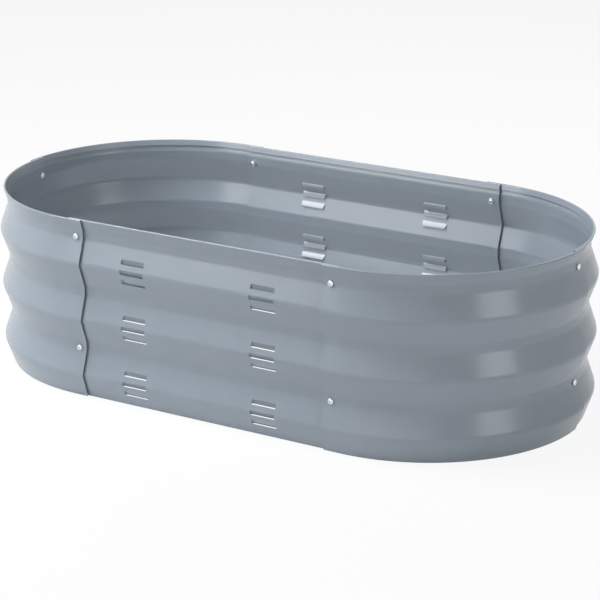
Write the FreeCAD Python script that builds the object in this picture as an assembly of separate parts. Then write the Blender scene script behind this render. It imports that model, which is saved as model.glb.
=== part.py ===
import FreeCAD, Part
import math
import os

# Raised garden bed of corrugated sheet steel, open at the top and at the bottom.
# Seen from above it is two straight sides joined by two half-round ends. It is bolted together from
# two straight panels and four quarter-round corner panels, which overlap at six seams.
# Millimetres, +Z up, X along the length, -Y to the front, origin on the ground under the middle.

# Overall shape
PANEL_LENGTH = 556.0        # straight panel, end to end
END_RADIUS = 300.0          # middle of a half-round end to the outer edge of the rim
HEIGHT = 333.0              # ground to the top of the rim
BEND_SETBACK = 3.5          # end of a straight panel to the start of the round end
OVERLAP = 29.0              # how far two panels lie over each other at a seam

# Sheet and its corrugation, from the rim down
SHEET = 0.8                 # steel thickness
WAVE_PITCH = 104.5          # crest to crest
WAVE_DEPTH = 15.5           # crest corner to valley corner, before they are rounded
VALLEY_FLAT = 16.0          # height of a valley's flat strip, corner to corner
BEND_RADIUS = 16.0          # middle of the sheet, at crests and valleys
TOP_VALLEY_DROP = 28.5      # top of the rim down to the middle of the first valley
LOWEST_CORNER = 12.0        # no corner of the corrugation lies nearer to the ground

# Folded rim: the sheet turns inward and comes back down beside itself
HEM_RADIUS = 1.6            # middle of the sheet, in the fold
HEM_LENGTH = 9.0            # folded strip below the fold
NEST_GAP = 0.3              # between a folded rim and the panel that lies inside it

# Louvres, in groups on the crests of the straight panels
LOUVRE_LENGTH = 51.0
LOUVRE_HEIGHT = 9.5         # slit up to the top of its hood
LOUVRE_DEPTH = 4.8          # how far the hood's lip stands in from the wall
LOUVRE_BOW = 0.9            # how far the hood's face bows inward between its top and its lip
LOUVRE_END_LEAN = 1.5       # each end of the hood is this much further in at the lip
LOUVRE_SPACING = 18.7       # slit to slit within a group
LOUVRE_ROWS = 3             # slits in a group
LOUVRE_DROP = 5.0           # crest down to the middle slit
LOUVRE_KERF = 0.5           # the slit's lower edge lies this far under the hood's lip
LEFT_LOUVRE_INSET = 124.5   # left bolts to the middle of the left groups, seen from outside
RIGHT_LOUVRE_INSET = 132.5  # right bolts to the middle of the right groups

# Bolts and nuts
BOLT_DROP = 4.5             # middle of a valley down to its bolt
BOLT_RADIUS = 3.0
BOLT_LENGTH = 14.0          # under the head
HEAD_RADIUS = 5.4
HEAD_HEIGHT = 3.0
HEAD_EDGE = 0.9             # straight edge of the head below its dome
SHOULDER_HEIGHT = 2.4       # the dome is this high at its shoulder
SHOULDER_RADIUS = 3.7
TIP_BEVEL = 0.75
RECESS_WIDTH = 1.3          # cross recess
RECESS_LENGTH = 5.6
RECESS_DEPTH = 1.8
HOLE_GAP = 0.3              # bolt to the edge of its hole
THREAD_GAP = 0.12           # bolt to the nut's bore
SEAT_GAP = 0.3              # head or nut to the sheet at its nearest
NUT_FLATS = 10.0
NUT_HEIGHT = 5.0
NUT_CHAMFER = 0.6           # how far the rounded corners reach along the nut
NUT_CORNER_RISE = 1.2       # and how far out

# What follows from these sizes
FLANK = math.atan(WAVE_DEPTH / ((WAVE_PITCH - VALLEY_FLAT) / 2))     # tilt of the corrugation's slopes
HEM_THICKNESS = 2 * HEM_RADIUS + SHEET
NEST = (HEM_THICKNESS + NEST_GAP) / math.cos(FLANK)                  # inner panel, inward of the outer
END_X = PANEL_LENGTH / 2 + BEND_SETBACK                              # middle of a half-round end
BOLT_X = (PANEL_LENGTH - OVERLAP) / 2
END_OVERLAP = math.degrees(OVERLAP / 2 / END_RADIUS)                 # half of it, as an angle
TOP_VALLEY = HEIGHT - TOP_VALLEY_DROP
BLEND_START = 2 * END_OVERLAP       # where an inner corner panel leaves the other panel's curve

Z_AXIS = FreeCAD.Vector(0, 0, 1)
SAME_POINT = 1e-6           # points nearer than this are one point


def vec(x, y, z):
    return FreeCAD.Vector(x, y, z)


def wave_levels():
    """Heights of valleys and crests from the rim down, as (height, is_crest)."""
    levels = []
    height = TOP_VALLEY
    is_crest = False
    while height > LOWEST_CORNER:
        levels.append((height, is_crest))
        height -= WAVE_PITCH / 2
        is_crest = not is_crest
    return levels


def wall_corners():
    """Middle of the sheet as a path of corners from the ground to the end of the folded rim.

    X is the distance outward from the rim's outer edge. Returns corners and the bend radius of each.
    """
    slope_up = vec(math.sin(FLANK), 0, math.cos(FLANK))
    slope_out = vec(math.cos(FLANK), 0, -math.sin(FLANK))
    fold_out = HEM_RADIUS + SHEET / 2
    fold = vec(-fold_out, 0, HEIGHT - fold_out)
    rim_outer = fold + slope_out * HEM_RADIUS + slope_up * HEM_RADIUS
    rim_inner = fold - slope_out * HEM_RADIUS + slope_up * HEM_RADIUS
    hem_end = rim_inner - slope_up * (HEM_RADIUS + HEM_LENGTH)

    valley_x = rim_outer.x - math.tan(FLANK) * (rim_outer.z - TOP_VALLEY - VALLEY_FLAT / 2)
    crest_x = valley_x + WAVE_DEPTH
    corners = [hem_end, rim_inner, rim_outer]
    bends = [0, HEM_RADIUS, HEM_RADIUS]
    for height, is_crest in wave_levels():
        if is_crest:
            corners.append(vec(crest_x, 0, height))
            bends.append(BEND_RADIUS)
        else:
            corners.append(vec(valley_x, 0, height + VALLEY_FLAT / 2))
            corners.append(vec(valley_x, 0, height - VALLEY_FLAT / 2))
            bends.extend([BEND_RADIUS, BEND_RADIUS])
    last = corners[-1]
    toward_ground = -math.tan(FLANK) if last.x > valley_x + WAVE_DEPTH / 2 else math.tan(FLANK)
    corners.append(vec(last.x + toward_ground * last.z, 0, 0))
    bends.append(0)
    return corners[::-1], bends[::-1]


def path_edges(corners, bends, shift):
    """Straight runs joined by tangent arcs, shifted sideways: outward on the way up when positive.

    The first end is cut level, where the wall stands on the ground.
    """
    def heading(i):
        step = corners[i + 1] - corners[i]
        return step.normalize()

    def right(direction):
        return vec(direction.z, 0, -direction.x)

    edges = []
    here = corners[0] + vec(shift / heading(0).z, 0, 0)
    for i in range(1, len(corners) - 1):
        before, after = heading(i - 1), heading(i)
        turn = math.atan2(before.z * after.x - before.x * after.z, before.dot(after))
        side = 1 if turn > 0 else -1
        setback = bends[i] * math.tan(abs(turn) / 2)
        first = corners[i] - before * setback
        last = corners[i] + after * setback
        centre = first + right(before) * (side * bends[i])
        outward = corners[i] - centre
        middle = centre + outward.normalize() * (bends[i] - side * shift)
        first = first + right(before) * shift
        last = last + right(after) * shift
        if (first - here).Length > SAME_POINT:
            edges.append(Part.makeLine(here, first))
        edges.append(Part.Arc(first, middle, last).toShape())
        here = last
    end = corners[-1] + right(heading(len(corners) - 2)) * shift
    edges.append(Part.makeLine(here, end))
    return edges, end


def sheet_face():
    """Cross-section of the wall with its folded rim, in the XZ plane."""
    corners, bends = wall_corners()
    outer, outer_end = path_edges(corners, bends, SHEET / 2)
    inner, inner_end = path_edges(corners, bends, -SHEET / 2)
    foot = Part.makeLine(inner[0].Vertexes[0].Point, outer[0].Vertexes[0].Point)
    cap = Part.makeLine(outer_end, inner_end)
    wire = Part.Wire(Part.__sortEdges__(outer + [cap] + inner + [foot]))
    return Part.Face(wire)


def behind_wall_face():
    """Everything on the inner side of the wall's outer surface, below the rim."""
    corners, bends = wall_corners()
    outer, _ = path_edges(corners[:-2], bends[:-2], SHEET / 2)
    low = outer[0].Vertexes[0].Point
    high = outer[-1].Vertexes[-1].Point
    far = low.x - 2 * WAVE_DEPTH - LOUVRE_DEPTH
    back = Part.makePolygon([high, vec(far, 0, high.z), vec(far, 0, low.z), low])
    return Part.Face(Part.Wire(Part.__sortEdges__(outer + back.Edges)))


def wall_x(height):
    """Middle of the sheet at a height, bends left out."""
    corners, _ = wall_corners()
    for low, high in zip(corners, corners[1:]):
        if low.z <= height <= high.z:
            return low.x + (high.x - low.x) * (height - low.z) / (high.z - low.z)


def hood_profile(lip, root, low, slit, top, clear):
    """From a hood's bowed face out to a line well outside the wall, in the XZ plane."""
    bow = vec((lip + root) / 2 - LOUVRE_BOW, 0, (slit + top) / 2)
    face_edge = Part.Arc(vec(lip, 0, slit), bow, vec(root, 0, top)).toShape()
    corners = [vec(root, 0, top), vec(clear, 0, top), vec(clear, 0, low), vec(lip, 0, low)]
    if slit - low > SAME_POINT:
        corners.append(vec(lip, 0, slit))
    return Part.Face(Part.Wire(Part.__sortEdges__(Part.makePolygon(corners).Edges + [face_edge])))


def louvre(slit, middle):
    """Solid hood over a slit, and the space to cut out under it."""
    top = slit + LOUVRE_HEIGHT
    low = slit - LOUVRE_KERF
    lip = wall_x(slit) - LOUVRE_DEPTH
    root = wall_x(top) + SHEET / 2
    clear = max(wall_x(slit), wall_x(top)) + WAVE_DEPTH
    end_slope = LOUVRE_END_LEAN / LOUVRE_DEPTH
    face_through = SHEET * math.hypot(1, (root - lip) / LOUVRE_HEIGHT)
    end_through = SHEET * math.hypot(1, end_slope)

    def block(profile, half):
        """Profile drawn out along Y between ends that lean in towards the lip."""
        narrow = half - LOUVRE_END_LEAN
        wide = narrow + end_slope * (clear - lip)
        plan = Part.makePolygon([vec(lip, -narrow, low), vec(clear, -wide, low), vec(clear, wide, low),
                                 vec(lip, narrow, low), vec(lip, -narrow, low)])
        upright = Part.Face(plan).extrude(vec(0, 0, top - low))
        along = profile.extrude(vec(0, 2 * wide, 0))
        along.translate(vec(0, -wide, 0))
        shaped = along.common(upright)
        shaped.translate(vec(0, middle, 0))
        return shaped

    half = LOUVRE_LENGTH / 2
    hood = block(hood_profile(lip, root, slit, slit, top, clear), half)
    space = block(hood_profile(lip + face_through, root + face_through, low, slit, top, clear),
                  half - end_through)
    return hood, space


def stand(shape, angle, radius, centre=vec(0, 0, 0)):
    """Turns a wall that faces +X about the vertical and moves it out from a centre."""
    placed = shape.copy()
    placed.translate(vec(radius, 0, 0))
    placed.rotate(vec(0, 0, 0), Z_AXIS, angle)
    placed.translate(centre)
    return placed


def half_turn(shape):
    turned = shape.copy()
    turned.rotate(vec(0, 0, 0), Z_AXIS, 180)
    return turned


def straight_panel():
    """Front panel: it lies inside the corner panels at both ends."""
    wall = sheet_face().extrude(vec(0, PANEL_LENGTH, 0))
    wall.translate(vec(0, -PANEL_LENGTH / 2, 0))
    behind = behind_wall_face().extrude(vec(0, PANEL_LENGTH, 0))
    behind.translate(vec(0, -PANEL_LENGTH / 2, 0))
    hoods = []
    spaces = []
    for height, is_crest in wave_levels():
        if not is_crest:
            continue
        for row in range(LOUVRE_ROWS):
            slit = height - LOUVRE_DROP + LOUVRE_SPACING * ((LOUVRE_ROWS - 1) / 2 - row)
            for middle in (-BOLT_X + LEFT_LOUVRE_INSET, BOLT_X - RIGHT_LOUVRE_INSET):
                hood, space = louvre(slit, middle)
                hoods.append(hood.common(behind))
                spaces.append(space)
    wall = wall.fuse(hoods).cut(spaces)
    return stand(wall.removeSplitter(), -90, END_RADIUS - NEST)


def swept(face, centre, radius, start, sweep):
    """Wall bent round a vertical line through the centre."""
    placed = stand(face, start, radius, centre)
    return placed.revolve(centre, Z_AXIS, sweep)


def straight_tail(face, centre, radius, angle):
    """Straight end of a corner panel, along a side of the bed, towards the middle of the bed."""
    run = centre.x - (PANEL_LENGTH / 2 - OVERLAP)
    return stand(face, angle, radius, centre).extrude(vec(-run, 0, 0))


def outer_corner():
    """Front right corner panel: it lies outside its neighbours at both seams."""
    face = sheet_face()
    centre = vec(END_X, 0, 0)
    bend = swept(face, centre, END_RADIUS, -90, 90 + END_OVERLAP)
    tail = straight_tail(face, centre, END_RADIUS, -90)
    return bend.fuse(tail).removeSplitter()


def inner_corner():
    """Back right corner panel: inside its neighbour at the end seam, outside it at the straight seam.

    It follows the neighbour's curve through the overlap, then a slightly wider one to the side.
    """
    face = sheet_face()
    centre = vec(END_X, 0, 0)
    near = END_RADIUS - NEST
    lift = math.sin(math.radians(BLEND_START))
    wide = (END_RADIUS - near * lift) / (1 - lift)
    reach = vec(math.cos(math.radians(BLEND_START)), lift, 0)
    wide_centre = centre + reach * (near - wide)
    nested = swept(face, centre, near, -END_OVERLAP, END_OVERLAP + BLEND_START)
    bend = swept(face, wide_centre, wide, BLEND_START, 90 - BLEND_START)
    tail = straight_tail(face, wide_centre, wide, 90)
    return nested.fuse([bend, tail]).removeSplitter()


def valley_face():
    """Outer surface of an outer panel at the bottom of its valleys, as X."""
    return wall_x(TOP_VALLEY) + SHEET / 2


def seat_rise():
    """How far the bend under a valley's flat strip lifts the lower edge of a bolt's head."""
    flat_end = VALLEY_FLAT / 2 - BEND_RADIUS * math.tan(FLANK / 2)
    inside_bend = BEND_RADIUS - SHEET / 2
    past = max(0.0, HEAD_RADIUS + BOLT_DROP - flat_end)
    past = min(past, inside_bend * math.sin(FLANK))
    return inside_bend - math.sqrt(inside_bend ** 2 - past ** 2)


def bolt():
    """Pan head bolt that points inward along -X, for a wall whose rim edge is at X = 0."""
    base = valley_face() + seat_rise() + SEAT_GAP
    edge = base + HEAD_EDGE
    crown = base + HEAD_HEIGHT
    tip = base - BOLT_LENGTH
    dome = Part.Arc(vec(edge, 0, HEAD_RADIUS),
                    vec(base + SHOULDER_HEIGHT, 0, SHOULDER_RADIUS),
                    vec(crown, 0, 0)).toShape()
    outline = Part.makePolygon([vec(crown, 0, 0), vec(tip, 0, 0), vec(tip, 0, BOLT_RADIUS - TIP_BEVEL),
                                vec(tip + TIP_BEVEL, 0, BOLT_RADIUS), vec(base, 0, BOLT_RADIUS),
                                vec(base, 0, HEAD_RADIUS), vec(edge, 0, HEAD_RADIUS)])
    face = Part.Face(Part.Wire(Part.__sortEdges__(outline.Edges + [dome])))
    solid = face.revolve(vec(0, 0, 0), vec(1, 0, 0), 360)
    slot = Part.makeBox(RECESS_DEPTH * 2, RECESS_LENGTH, RECESS_WIDTH)
    slot.translate(vec(crown - RECESS_DEPTH, -RECESS_LENGTH / 2, -RECESS_WIDTH / 2))
    cross = slot.copy()
    cross.rotate(vec(0, 0, 0), vec(1, 0, 0), 90)
    return solid.cut([slot, cross])


def nut():
    """Hexagon nut on the inside of the inner panel."""
    face_x = valley_face() - NEST - SHEET - SEAT_GAP
    corner = NUT_FLATS / math.sqrt(3)
    points = []
    for k in range(6):
        angle = math.radians(60 * k)
        points.append(vec(face_x, corner * math.cos(angle), corner * math.sin(angle)))
    hexagon = Part.Face(Part.makePolygon(points + points[:1])).extrude(vec(-NUT_HEIGHT, 0, 0))
    flat = NUT_FLATS / 2
    envelope = Part.makePolygon([vec(face_x, 0, 0), vec(face_x, 0, flat),
                                 vec(face_x - NUT_CHAMFER, 0, flat + NUT_CORNER_RISE),
                                 vec(face_x - NUT_HEIGHT + NUT_CHAMFER, 0, flat + NUT_CORNER_RISE),
                                 vec(face_x - NUT_HEIGHT, 0, flat),
                                 vec(face_x - NUT_HEIGHT, 0, 0), vec(face_x, 0, 0)])
    rounded = Part.Face(envelope).revolve(vec(0, 0, 0), vec(1, 0, 0), 360)
    bore = Part.makeCylinder(BOLT_RADIUS + THREAD_GAP, NUT_HEIGHT, vec(face_x, 0, 0), vec(-1, 0, 0))
    return hexagon.common(rounded).cut(bore)


def bolt_hole():
    start = vec(valley_face() - 2 * NEST, 0, 0)
    return Part.makeCylinder(BOLT_RADIUS + HOLE_GAP, 3 * NEST, start, vec(1, 0, 0))


def bolt_places():
    """Name, wall angle, centre and height of each bolt."""
    crossing = {"front_left": (-90, -BOLT_X), "front_right": (-90, BOLT_X),
                "back_left": (90, -BOLT_X), "back_right": (90, BOLT_X),
                "end_left": (180, -END_X), "end_right": (0, END_X)}
    levels = {"upper": TOP_VALLEY - BOLT_DROP, "lower": lower_valley() - BOLT_DROP}
    places = []
    for seam, (angle, along) in crossing.items():
        for level, height in levels.items():
            places.append((seam + "_" + level, angle, vec(along, 0, height)))
    return places


def lower_valley():
    """Lowest valley that a bolt can sit in."""
    return min(height for height, is_crest in wave_levels() if not is_crest)


def save(name, shape):
    solid = shape.Solids[0] if len(shape.Solids) == 1 else shape
    print(name, "solids", len(shape.Solids), "valid", shape.isValid(), "volume", round(shape.Volume))
    solid.exportStep("parts/" + name + ".step")


def main():
    os.makedirs("parts", exist_ok=True)
    places = bolt_places()
    holes = [stand(bolt_hole(), angle, END_RADIUS, centre) for _, angle, centre in places]

    front = straight_panel()
    corner_outer = outer_corner()
    corner_inner = inner_corner()
    panels = {"panel_front": front,
              "panel_back": half_turn(front),
              "corner_front_right": corner_outer,
              "corner_back_left": half_turn(corner_outer),
              "corner_back_right": corner_inner,
              "corner_front_left": half_turn(corner_inner)}
    for name, panel in panels.items():
        save(name, panel.cut(holes))

    for name, angle, centre in places:
        save("bolt_" + name, stand(bolt(), angle, END_RADIUS, centre))
        save("nut_" + name, stand(nut(), angle, END_RADIUS, centre))


main()
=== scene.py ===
"""Raised garden bed of corrugated, powder coated steel: finishes, fixings, stage and camera.

Metres, +Z up, X along the bed's length, -Y to the front, origin on the ground under the middle.
"""
import math

import bmesh
import bpy
from mathutils import Matrix, Quaternion, Vector


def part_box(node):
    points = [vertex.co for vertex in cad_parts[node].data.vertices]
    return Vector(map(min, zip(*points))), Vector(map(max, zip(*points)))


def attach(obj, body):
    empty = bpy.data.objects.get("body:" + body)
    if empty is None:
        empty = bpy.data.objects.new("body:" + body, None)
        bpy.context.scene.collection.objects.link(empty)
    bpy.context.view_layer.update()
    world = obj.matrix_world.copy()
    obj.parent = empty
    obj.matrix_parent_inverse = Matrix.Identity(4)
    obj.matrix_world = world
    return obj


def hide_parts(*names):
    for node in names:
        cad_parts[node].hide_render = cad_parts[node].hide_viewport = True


bl_info = {
    "name": "Corrugated garden bed",
    "version": (1, 0, 0),
    "blender": (4, 5, 0),
    "location": "3D View > Sidebar > Garden bed",
    "description": "Finishes, bolts, stage and camera of a corrugated steel garden bed",
    "category": "Object",
}

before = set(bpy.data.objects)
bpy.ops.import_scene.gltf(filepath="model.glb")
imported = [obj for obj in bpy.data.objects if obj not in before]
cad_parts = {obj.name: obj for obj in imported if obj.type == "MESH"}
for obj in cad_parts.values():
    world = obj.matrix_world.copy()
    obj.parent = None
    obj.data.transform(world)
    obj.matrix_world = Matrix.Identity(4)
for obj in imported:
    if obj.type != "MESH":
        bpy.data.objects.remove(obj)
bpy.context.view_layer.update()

MM = 0.001
SHEETS = sorted(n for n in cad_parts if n.startswith(("panel", "corner")))
BOLTS = sorted(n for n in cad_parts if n.startswith("bolt"))
NUTS = sorted(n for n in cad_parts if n.startswith("nut"))

# Outward direction of the wall that each bolt goes through, by the seam in its name
OUTWARD = {"front": Vector((0, -1, 0)), "back": Vector((0, 1, 0)),
           "end_left": Vector((-1, 0, 0)), "end_right": Vector((1, 0, 0))}

# Bolts and nuts, in millimetres
BOLT_COLUMNS = 32
NUT_COLUMNS = 48
THREAD_STEPS = 6            # rings in one turn of the thread
DOME_STEPS = 9
DOME_START = 6              # degrees from the crown, where the dome's first ring lies
EDGE_ROUND = 0.2
TIP_BEVEL = 0.75
CUTTER_RISE = 0.5
RECESS_FLOOR_LENGTH = 0.5   # of the recess at the crown
RECESS_FLOOR_WIDTH = 0.7
NUT_PLAY = 0.12
COUNTERSINK = 0.35
NUT_CHAMFER_STEPS = (0, 0.12, 0.26, 0.42, 0.62)
FACE_SHARE = 0.96           # round face of a nut, as a share of its width over flats
CHAMFER_SLOPE = 1.73        # outward for each step along the nut, 30 degrees from its face
CREASE_ANGLE = 32
BOLT_TWIST = 37             # each bolt's recess is turned this much further than the last
WELD = 0.004                # points nearer than this, left by cutting the recess, become one

# Finishes: how far the noise moves roughness down and up, and the dark end of the zinc's tone
PAINT_GLOSS_DRIFT = 0.04
ZINC_SHINE = 0.08
ZINC_WEAR = 0.12
ZINC_DULL_TONE = 0.88

# Stage, in metres
FLOOR_HALF = 15.0
FLOOR_DROP = 0.0005         # keeps the floor clear of the foot
FLOOR_WHITE_SHARE = 0.9     # the rest of what the camera sees of the floor holds the bed's shadow
LIGHT_TARGET = (0, 0, 0.15)

# Camera, fitted to the bed's outline, rim and bolts
IMAGE_WIDTH = 600
SENSOR_WIDTH = 36.0
FOCAL_PIXELS = 2311.3
AIM = (0.02756, -0.0106, 0.150)
CAMERA_DISTANCE = 4.229
CAMERA_AZIMUTH = 31.79
CAMERA_ELEVATION = 18.39
CAMERA_ROLL = -0.25


def linear(hex_colour):
    """An sRGB hex colour as linear red, green and blue."""
    channels = [int(hex_colour[i:i + 2], 16) / 255 for i in (1, 3, 5)]
    return [c / 12.92 if c <= 0.04045 else ((c + 0.055) / 1.055) ** 2.4 for c in channels]


def direction(azimuth, elevation):
    """Unit vector; azimuth 0 is the front and 90 the right, in degrees."""
    turn, rise = math.radians(azimuth), math.radians(elevation)
    return Vector((math.sin(turn) * math.cos(rise), -math.cos(turn) * math.cos(rise), math.sin(rise)))


def add_node(tree, kind, links=None, values=None, **properties):
    """Adds a node with its properties, input values and links from other nodes' outputs."""
    node = tree.nodes.new(kind)
    for name, value in properties.items():
        setattr(node, name, value)
    for socket, value in (values or {}).items():
        node.inputs[socket].default_value = value
    for socket, source in (links or {}).items():
        tree.links.new(source, node.inputs[socket])
    return node


def new_material(name):
    material = bpy.data.materials.new(name)
    material.use_nodes = True
    material.node_tree.nodes.clear()
    return material, material.node_tree


def powder_coat(settings):
    """Polyester powder coat baked on galvanised sheet steel.

    To the eye: a satin blue grey skin whose soft reflections run unevenly over the rolled sheet.
    """
    material, tree = new_material("powder_coated_steel")
    where = add_node(tree, "ShaderNodeTexCoord").outputs["Object"]
    # Ripples of the melted powder are about 1 mm wide; 3 mm is the finest that shows at this size.
    peel = add_node(tree, "ShaderNodeTexNoise", {"Vector": where},
                    {"Scale": 1 / (settings.peel_size * MM), "Detail": 2.0})
    # Dents of forming and handling, a hand's breadth wide
    dents = add_node(tree, "ShaderNodeTexNoise", {"Vector": where},
                     {"Scale": 1 / (settings.dent_size * MM), "Detail": 1.0})
    dented = add_node(tree, "ShaderNodeBump", {"Height": dents.outputs["Fac"]},
                      {"Distance": settings.dent_depth * MM})
    rippled = add_node(tree, "ShaderNodeBump", {"Height": peel.outputs["Fac"],
                                                "Normal": dented.outputs["Normal"]},
                       {"Distance": settings.peel_depth * MM})
    # Thicker and thinner powder: the tone drifts by a few percent, and the gloss with it.
    cloud = add_node(tree, "ShaderNodeTexNoise", {"Vector": where},
                     {"Scale": 1 / (settings.cloud_size * MM), "Detail": 3.0})
    tone = add_node(tree, "ShaderNodeMix", {"Factor": cloud.outputs["Fac"]}, data_type="RGBA")
    tone.inputs["A"].default_value = [c * (1 - settings.cloud_share) for c in settings.colour] + [1]
    tone.inputs["B"].default_value = [c * (1 + settings.cloud_share) for c in settings.colour] + [1]
    gloss = add_node(tree, "ShaderNodeMapRange", {"Value": cloud.outputs["Fac"]},
                     {"To Min": settings.roughness - PAINT_GLOSS_DRIFT,
                      "To Max": settings.roughness + PAINT_GLOSS_DRIFT})
    shader = add_node(tree, "ShaderNodeBsdfPrincipled",
                      {"Base Color": tone.outputs["Result"], "Roughness": gloss.outputs["Result"],
                       "Normal": rippled.outputs["Normal"]}, {"IOR": 1.5})
    add_node(tree, "ShaderNodeOutputMaterial", {"Surface": shader.outputs["BSDF"]})
    return material


def zinc_plate(settings):
    """Bright zinc plating on cold headed steel, tumbled in the bath.

    To the eye: a cold, lively shine with soft scuffs on the dome.
    """
    material, tree = new_material("zinc_plated_steel")
    where = add_node(tree, "ShaderNodeTexCoord").outputs["Object"]
    scuffs = add_node(tree, "ShaderNodeTexNoise", {"Vector": where},
                      {"Scale": 1 / (settings.scuff_size * MM), "Detail": 4.0})
    worn = add_node(tree, "ShaderNodeMapRange", {"Value": scuffs.outputs["Fac"]},
                    {"To Min": settings.roughness - ZINC_SHINE,
                     "To Max": settings.roughness + ZINC_WEAR})
    tone = add_node(tree, "ShaderNodeMix", {"Factor": scuffs.outputs["Fac"]}, data_type="RGBA")
    tone.inputs["A"].default_value = [c * ZINC_DULL_TONE for c in settings.colour] + [1]
    tone.inputs["B"].default_value = list(settings.colour) + [1]
    rubbed = add_node(tree, "ShaderNodeBump", {"Height": scuffs.outputs["Fac"]},
                      {"Distance": settings.scuff_depth * MM})
    shader = add_node(tree, "ShaderNodeBsdfPrincipled",
                      {"Base Color": tone.outputs["Result"], "Roughness": worn.outputs["Result"],
                       "Normal": rubbed.outputs["Normal"]}, {"Metallic": 1.0})
    add_node(tree, "ShaderNodeOutputMaterial", {"Surface": shader.outputs["BSDF"]})
    return material


class PaintSettings(bpy.types.PropertyGroup):
    colour: bpy.props.FloatVectorProperty(
        name="Paint colour", description="Colour of the powder coat", subtype="COLOR",
        size=3, min=0, max=1, default=linear("#96A1AC"))
    roughness: bpy.props.FloatProperty(
        name="Paint roughness", description="0 is a mirror, 1 is chalk", subtype="FACTOR",
        min=0, max=1, default=0.24)
    peel_size: bpy.props.FloatProperty(
        name="Peel size", description="Width of the powder coat's ripples, in millimetres",
        min=0.5, max=10, default=3.0)
    peel_depth: bpy.props.FloatProperty(
        name="Peel depth", description="Height of the ripples, in millimetres",
        min=0, max=0.5, default=0.03)
    dent_size: bpy.props.FloatProperty(
        name="Dent size", description="Width of the dents that forming leaves, in millimetres",
        min=10, max=500, default=90.0)
    dent_depth: bpy.props.FloatProperty(
        name="Dent depth", description="Depth of these dents, in millimetres",
        min=0, max=5, default=0.8)
    cloud_size: bpy.props.FloatProperty(
        name="Cloud size", description="Width of thicker patches of powder, in millimetres",
        min=5, max=200, default=40.0)
    cloud_share: bpy.props.FloatProperty(
        name="Cloud strength", description="How far these patches change the tone", subtype="FACTOR",
        min=0, max=0.5, default=0.04)


class ZincSettings(bpy.types.PropertyGroup):
    colour: bpy.props.FloatVectorProperty(
        name="Zinc colour", description="Colour of the plating", subtype="COLOR",
        size=3, min=0, max=1, default=linear("#E2E6EA"))
    roughness: bpy.props.FloatProperty(
        name="Zinc roughness", description="0 is a mirror", subtype="FACTOR",
        min=0, max=1, default=0.26)
    scuff_size: bpy.props.FloatProperty(
        name="Scuff size", description="Width of the marks from tumbling, in millimetres",
        min=0.1, max=5, default=0.9)
    scuff_depth: bpy.props.FloatProperty(
        name="Scuff depth", description="Depth of these marks, in millimetres",
        min=0, max=0.5, default=0.02)


class FixingSettings(bpy.types.PropertyGroup):
    bolt_diameter: bpy.props.FloatProperty(
        name="Bolt diameter", description="Across the crests of the thread, in millimetres",
        min=3, max=10, default=6.0)
    thread_pitch: bpy.props.FloatProperty(
        name="Thread pitch", description="Crest to crest along the bolt, in millimetres",
        min=0.5, max=3, default=1.0)
    thread_depth: bpy.props.FloatProperty(
        name="Thread depth", description="Root to crest of the thread, in millimetres",
        min=0, max=1, default=0.55)
    plain_length: bpy.props.FloatProperty(
        name="Plain length", description="Shank without thread under the head, in millimetres",
        min=0, max=10, default=1.2)
    head_height: bpy.props.FloatProperty(
        name="Head height", description="Underside of the head to its crown, in millimetres",
        min=1, max=6, default=3.0)
    head_edge: bpy.props.FloatProperty(
        name="Head edge", description="Upright edge of the head below its dome, in millimetres",
        min=0.2, max=3, default=0.9)
    recess_length: bpy.props.FloatProperty(
        name="Recess length", description="Cross recess, tip to tip, in millimetres",
        min=1, max=8, default=5.6)
    recess_width: bpy.props.FloatProperty(
        name="Recess width", description="Width of one wing of the recess, in millimetres",
        min=0.5, max=3, default=1.3)
    recess_depth: bpy.props.FloatProperty(
        name="Recess depth", description="Crown down to the floor of the recess, in millimetres",
        min=0.5, max=3, default=1.8)


class StageSettings(bpy.types.PropertyGroup):
    floor: bpy.props.FloatVectorProperty(
        name="Floor colour", description="Colour of the paper under the bed", subtype="COLOR",
        size=3, min=0, max=1, default=linear("#FAFAFA"))
    key_light: bpy.props.FloatProperty(
        name="Key light", description="High box on the left", subtype="POWER", unit="POWER",
        min=0, default=78.0)
    front_light: bpy.props.FloatProperty(
        name="Front light", description="Small box in front, to the left", subtype="POWER",
        unit="POWER", min=0, default=6.8)
    low_light: bpy.props.FloatProperty(
        name="Low light", description="Wide box just above the floor in front", subtype="POWER",
        unit="POWER", min=0, default=6.5)
    right_light: bpy.props.FloatProperty(
        name="Right light", description="Low box on the right", subtype="POWER", unit="POWER",
        min=0, default=9.0)
    back_light: bpy.props.FloatProperty(
        name="Back light", description="Box behind the bed", subtype="POWER", unit="POWER",
        min=0, default=18.0)
    surroundings: bpy.props.FloatProperty(
        name="Surroundings", description="Brightness of the room", min=0, max=2, default=0.11)


def set_finish(piece, material):
    piece.data.materials.clear()
    piece.data.materials.append(material)


class GARDENBED_OT_sheets(bpy.types.Operator):
    """Gives the six corrugated sheets their powder coat"""
    bl_idname = "gardenbed.sheets"
    bl_label = "Coat sheets"

    def execute(self, context):
        material = powder_coat(context.scene.gardenbed_paint)
        for name in SHEETS:
            set_finish(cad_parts[name], material)
        return {"FINISHED"}


def lathe(rings, columns, radius_at, ring_shaped=False):
    """Mesh round Z from (height, radius) rings; radius_at(height, radius, angle) shapes each point."""
    mesh = bmesh.new()
    rows = []
    for height, radius in rings:
        row = []
        for column in range(columns):
            angle = math.tau * column / columns
            out = radius_at(height, radius, angle)
            row.append(mesh.verts.new((out * math.cos(angle), out * math.sin(angle), height)))
        rows.append(row)
    pairs = list(zip(rows, rows[1:]))
    if ring_shaped:
        pairs.append((rows[-1], rows[0]))
    else:
        mesh.faces.new(rows[0])
        mesh.faces.new(rows[-1][::-1])
    for above, below in pairs:
        for column in range(columns):
            after = (column + 1) % columns
            mesh.faces.new((above[column], below[column], below[after], above[after]))
    return mesh


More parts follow.
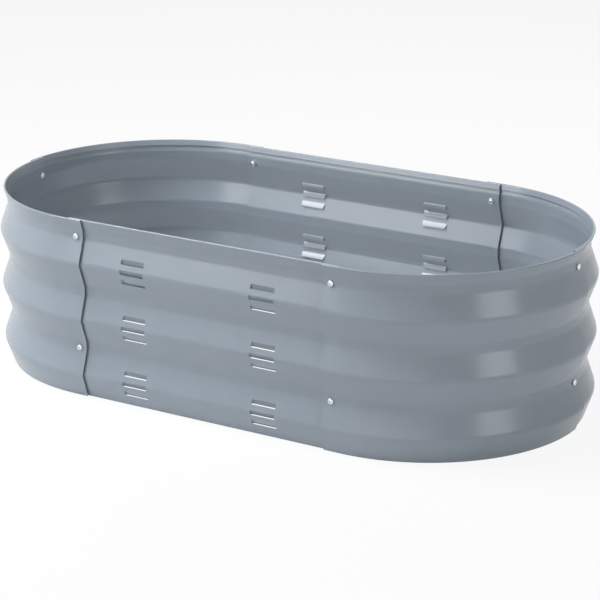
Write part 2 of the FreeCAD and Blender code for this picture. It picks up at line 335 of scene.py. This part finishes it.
def finished_mesh(name, mesh):
    """Blender mesh with smooth faces and crisp edges."""
    bmesh.ops.recalc_face_normals(mesh, faces=mesh.faces)
    data = bpy.data.meshes.new(name)
    mesh.to_mesh(data)
    mesh.free()
    data.shade_smooth()
    data.set_sharp_from_angle(angle=math.radians(CREASE_ANGLE))
    return data


def cross_recess(settings):
    """Cutter for a cross recess that narrows towards its floor, in millimetres."""
    mesh = bmesh.new()
    levels = ((settings.head_height + CUTTER_RISE, 1.0, 1.0),
              (settings.head_height - settings.recess_depth, RECESS_FLOOR_LENGTH, RECESS_FLOOR_WIDTH))
    rows = []
    for height, along, across in levels:
        tip = settings.recess_length / 2 * along
        side = settings.recess_width / 2 * across
        row = []
        for quarter in range(4):
            turn = Matrix.Rotation(math.radians(90 * quarter), 3, "Z")
            for corner in ((tip, -side), (tip, side), (side, side)):
                row.append(mesh.verts.new(turn @ Vector((*corner, height))))
        rows.append(row)
    mesh.faces.new(rows[0])
    mesh.faces.new(rows[1][::-1])
    count = len(rows[0])
    for k in range(count):
        after = (k + 1) % count
        mesh.faces.new((rows[0][k], rows[1][k], rows[1][after], rows[0][after]))
    return mesh


def bolt_mesh(settings, head_radius, length):
    """Pan head bolt in metres, with the underside of its head at Z = 0 and its tip below."""
    crest = settings.bolt_diameter / 2
    tip = settings.head_height - length
    rings = []
    for step in range(DOME_STEPS + 1):
        angle = math.radians(DOME_START + (90 - DOME_START) * step / DOME_STEPS)
        rings.append((settings.head_edge + (settings.head_height - settings.head_edge) * math.cos(angle),
                      head_radius * math.sin(angle)))
    rings += [(EDGE_ROUND, head_radius), (0, head_radius - EDGE_ROUND), (0, crest + EDGE_ROUND),
              (-EDGE_ROUND, crest)]
    steps = int(-tip / settings.thread_pitch * THREAD_STEPS)
    rings += [(tip * step / steps, crest) for step in range(1, steps)]
    rings.append((tip, crest - settings.thread_depth))

    def thread(height, radius, angle):
        if radius != crest or height > -settings.plain_length:
            return radius
        turns = height / settings.thread_pitch - angle / math.tau
        groove = abs(2 * (turns - math.floor(turns)) - 1)
        fade = min(1, (-settings.plain_length - height) / settings.thread_pitch)
        tip_bevel = max(0, tip + TIP_BEVEL - height)
        return crest - max(settings.thread_depth * groove * fade, tip_bevel)

    solid = finished_mesh("bolt_blank", lathe(rings, BOLT_COLUMNS, thread))
    blank = bpy.data.objects.new("bolt_blank", solid)
    cutter = bpy.data.objects.new("bolt_cutter", finished_mesh("bolt_cutter", cross_recess(settings)))
    for helper in (blank, cutter):
        bpy.context.scene.collection.objects.link(helper)
    cut = blank.modifiers.new("recess", "BOOLEAN")
    cut.object = cutter
    cut.operation = "DIFFERENCE"
    cut.solver = "EXACT"
    bpy.context.view_layer.update()
    made = bpy.data.meshes.new_from_object(blank.evaluated_get(bpy.context.evaluated_depsgraph_get()))
    for helper in (blank, cutter):
        bpy.data.objects.remove(helper)
    made.name = "bolt"
    welded = bmesh.new()
    welded.from_mesh(made)
    bmesh.ops.remove_doubles(welded, verts=welded.verts, dist=WELD)
    bmesh.ops.dissolve_degenerate(welded, edges=welded.edges, dist=WELD)
    welded.to_mesh(made)
    welded.free()
    made.transform(Matrix.Scale(MM, 4))
    made.set_sharp_from_angle(angle=math.radians(CREASE_ANGLE))
    return made


def nut_mesh(settings, flats, height):
    """Hexagon nut in metres, half above and half below Z = 0, with corners along X."""
    half = height / 2
    bore = settings.bolt_diameter / 2 + NUT_PLAY
    outside = [(half - depth, flats) for depth in NUT_CHAMFER_STEPS]
    outside += [(-level, radius) for level, radius in reversed(outside)]
    inside = [(-half, bore + COUNTERSINK), (-half + COUNTERSINK, bore),
              (half - COUNTERSINK, bore), (half, bore + COUNTERSINK)]

    def hexagon(level, radius, angle):
        if radius != flats:
            return radius
        sixth = math.radians(60)
        flat = flats / 2 / math.cos(angle % sixth - sixth / 2)
        cone = flats / 2 * FACE_SHARE + (half - abs(level)) * CHAMFER_SLOPE
        return min(flat, cone)

    mesh = lathe(outside + inside, NUT_COLUMNS, hexagon, ring_shaped=True)
    data = finished_mesh("nut", mesh)
    data.transform(Matrix.Scale(MM, 4))
    return data


def place_fixing(node, mesh, outward, along, twist, material):
    """Puts a bolt or nut where its node is, with Z outward and its origin this far along it."""
    low, high = (Vector(corner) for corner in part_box(node))
    centre = (low + high) / 2
    centre += outward * (along - centre.dot(outward))
    piece = bpy.data.objects.new(node + "_made", mesh)
    level = outward.cross(Vector((0, 0, 1)))
    turn = Matrix((level, outward.cross(level), outward)).transposed()
    piece.matrix_world = (Matrix.Translation(centre) @ turn.to_4x4()
                          @ Matrix.Rotation(math.radians(twist), 4, "Z"))
    bpy.context.scene.collection.objects.link(piece)
    set_finish(piece, material)
    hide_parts(node)
    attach(piece, "root")


def reach_along(node, outward):
    """Nearest and furthest a node reaches along a direction, and its height in millimetres."""
    low, high = (Vector(corner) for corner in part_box(node))
    near, far = sorted((low.dot(outward), high.dot(outward)))
    return near, far, (high.z - low.z) / MM


def outward_of(node):
    return next(way for seam, way in OUTWARD.items() if seam in node)


class GARDENBED_OT_bolts(bpy.types.Operator):
    """Makes the pan head bolts with their cross recess and thread"""
    bl_idname = "gardenbed.bolts"
    bl_label = "Make bolts"

    def execute(self, context):
        settings = context.scene.gardenbed_fixings
        material = zinc_plate(context.scene.gardenbed_zinc)
        near, far, across = reach_along(BOLTS[0], outward_of(BOLTS[0]))
        mesh = bolt_mesh(settings, across / 2, (far - near) / MM)
        for count, node in enumerate(BOLTS):
            outward = outward_of(node)
            _, crown, _ = reach_along(node, outward)
            seat = crown - settings.head_height * MM
            place_fixing(node, mesh, outward, seat, count * BOLT_TWIST, material)
        return {"FINISHED"}


class GARDENBED_OT_nuts(bpy.types.Operator):
    """Makes the chamfered hexagon nuts"""
    bl_idname = "gardenbed.nuts"
    bl_label = "Make nuts"

    def execute(self, context):
        material = zinc_plate(context.scene.gardenbed_zinc)
        near, far, flats = reach_along(NUTS[0], outward_of(NUTS[0]))
        mesh = nut_mesh(context.scene.gardenbed_fixings, flats, (far - near) / MM)
        for node in NUTS:
            outward = outward_of(node)
            near, far, _ = reach_along(node, outward)
            place_fixing(node, mesh, outward, (near + far) / 2, 0, material)
        return {"FINISHED"}


# Light boxes: azimuth, elevation, distance from the middle of the bed, width and height
LIGHT_BOXES = {
    "key_light": (-63, 56, 3.0, 1.4, 1.4),
    "front_light": (-33, 24, 2.2, 0.8, 0.5),
    "low_light": (12, 9, 3.0, 3.0, 0.6),
    "right_light": (76, 17, 2.6, 0.9, 1.0),
    "back_light": (180, 35, 3.0, 2.4, 1.2),
}


def light_box(name, azimuth, elevation, distance, width, height, power):
    lamp = bpy.data.lights.new(name, "AREA")
    lamp.shape = "RECTANGLE"
    lamp.size, lamp.size_y = width, height
    lamp.energy = power
    holder = bpy.data.objects.new(name, lamp)
    out = direction(azimuth, elevation)
    holder.location = Vector(LIGHT_TARGET) + out * distance
    holder.rotation_mode = "QUATERNION"
    holder.rotation_quaternion = out.to_track_quat("Z", "Y")
    bpy.context.scene.collection.objects.link(holder)


def white_to_camera(tree, shaded, white, share):
    """Mixes a share of plain white into what the camera and reflections see of the floor or room."""
    path = add_node(tree, "ShaderNodeLightPath").outputs
    direct = add_node(tree, "ShaderNodeMath", {0: path["Is Camera Ray"], 1: path["Is Glossy Ray"]},
                      operation="MAXIMUM")
    seen = add_node(tree, "ShaderNodeMath", {0: direct.outputs[0], 1: path["Is Transmission Ray"]},
                    operation="MAXIMUM")
    amount = add_node(tree, "ShaderNodeMath", {0: seen.outputs[0]}, {1: share}, operation="MULTIPLY")
    mix = add_node(tree, "ShaderNodeMixShader", {0: amount.outputs[0], 1: shaded, 2: white})
    return mix.outputs[0]


class GARDENBED_OT_stage(bpy.types.Operator):
    """Lays the pale floor, hangs the lights and places the camera"""
    bl_idname = "gardenbed.stage"
    bl_label = "Build stage"

    def execute(self, context):
        settings = context.scene.gardenbed_stage
        material, tree = new_material("white_paper")
        paper = add_node(tree, "ShaderNodeBsdfDiffuse", values={"Color": list(settings.floor) + [1]})
        lit = add_node(tree, "ShaderNodeEmission")
        surface = white_to_camera(tree, paper.outputs[0], lit.outputs[0], FLOOR_WHITE_SHARE)
        add_node(tree, "ShaderNodeOutputMaterial", {"Surface": surface})
        mesh = bpy.data.meshes.new("floor")
        corners = [(x * FLOOR_HALF, y * FLOOR_HALF, 0) for x, y in ((-1, -1), (1, -1), (1, 1), (-1, 1))]
        mesh.from_pydata(corners, [], [(0, 1, 2, 3)])
        floor = bpy.data.objects.new("floor", mesh)
        floor.location.z = -FLOOR_DROP
        context.scene.collection.objects.link(floor)
        set_finish(floor, material)

        world = bpy.data.worlds.new("studio")
        world.use_nodes = True
        tree = world.node_tree
        tree.nodes.clear()
        room = add_node(tree, "ShaderNodeBackground", values={"Strength": settings.surroundings})
        white = add_node(tree, "ShaderNodeBackground", values={"Color": (1, 1, 1, 1)})
        backdrop = white_to_camera(tree, room.outputs[0], white.outputs[0], 1.0)
        add_node(tree, "ShaderNodeOutputWorld", {"Surface": backdrop})
        context.scene.world = world

        for name, place in LIGHT_BOXES.items():
            light_box(name, *place, getattr(settings, name))

        back = direction(CAMERA_AZIMUTH, CAMERA_ELEVATION)
        lens = bpy.data.cameras.new("camera")
        lens.sensor_width = SENSOR_WIDTH
        lens.lens = FOCAL_PIXELS / IMAGE_WIDTH * SENSOR_WIDTH
        camera = bpy.data.objects.new("camera", lens)
        camera.location = Vector(AIM) + back * CAMERA_DISTANCE
        camera.rotation_mode = "QUATERNION"
        roll = Quaternion((0, 0, 1), math.radians(CAMERA_ROLL))
        camera.rotation_quaternion = (-back).to_track_quat("-Z", "Y") @ roll
        context.scene.collection.objects.link(camera)
        context.scene.camera = camera
        context.scene.view_settings.view_transform = "Standard"
        return {"FINISHED"}


class GARDENBED_PT_sidebar(bpy.types.Panel):
    bl_idname = "GARDENBED_PT_sidebar"
    bl_label = "Garden bed"
    bl_space_type = "VIEW_3D"
    bl_region_type = "UI"
    bl_category = "Garden bed"

    def draw(self, context):
        for step in STEPS:
            self.layout.operator(step.bl_idname)


STEPS = (GARDENBED_OT_sheets, GARDENBED_OT_bolts, GARDENBED_OT_nuts, GARDENBED_OT_stage)
SETTINGS = {"gardenbed_paint": PaintSettings, "gardenbed_zinc": ZincSettings,
            "gardenbed_fixings": FixingSettings, "gardenbed_stage": StageSettings}


def register():
    for group in SETTINGS.values():
        bpy.utils.register_class(group)
    for name, group in SETTINGS.items():
        setattr(bpy.types.Scene, name, bpy.props.PointerProperty(type=group))
    for step in STEPS:
        bpy.utils.register_class(step)
    bpy.utils.register_class(GARDENBED_PT_sidebar)


def unregister():
    bpy.utils.unregister_class(GARDENBED_PT_sidebar)
    for step in STEPS:
        bpy.utils.unregister_class(step)
    for name, group in SETTINGS.items():
        delattr(bpy.types.Scene, name)
        bpy.utils.unregister_class(group)


def main():
    register()
    bpy.ops.gardenbed.sheets()
    bpy.ops.gardenbed.bolts()
    bpy.ops.gardenbed.nuts()
    bpy.ops.gardenbed.stage()


if __name__ == "__main__":
    main()
